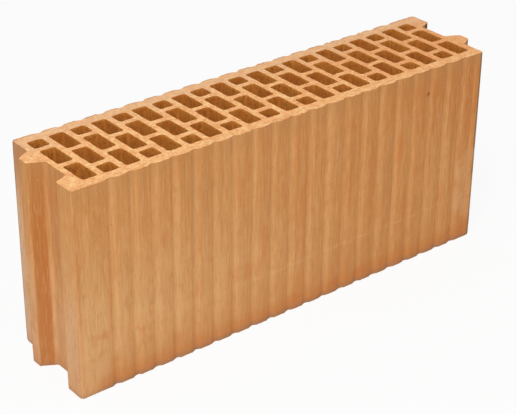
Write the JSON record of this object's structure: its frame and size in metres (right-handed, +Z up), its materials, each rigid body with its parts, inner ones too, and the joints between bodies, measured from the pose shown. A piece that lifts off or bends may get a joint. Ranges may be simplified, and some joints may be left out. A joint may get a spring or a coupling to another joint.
{
  "type": "hollow clay block",
  "caption": "Hollow fired clay partition block with rows of upright through cells, grooved long faces and tongue and groove ends that lock into the next block.",
  "frame": {"origin": "middle of the bed face that the block stands on", "axes": "+X along the wall, +Y through the wall, +Z up along the cells"},
  "size_m": [0.5254, 0.12, 0.219],
  "materials": {
    "fired_clay": "matt, dry and slightly sandy, as fired"
  },
  "bodies": {
    "root": {"clay_block": "fired_clay"}
  },
  "joints": []
}
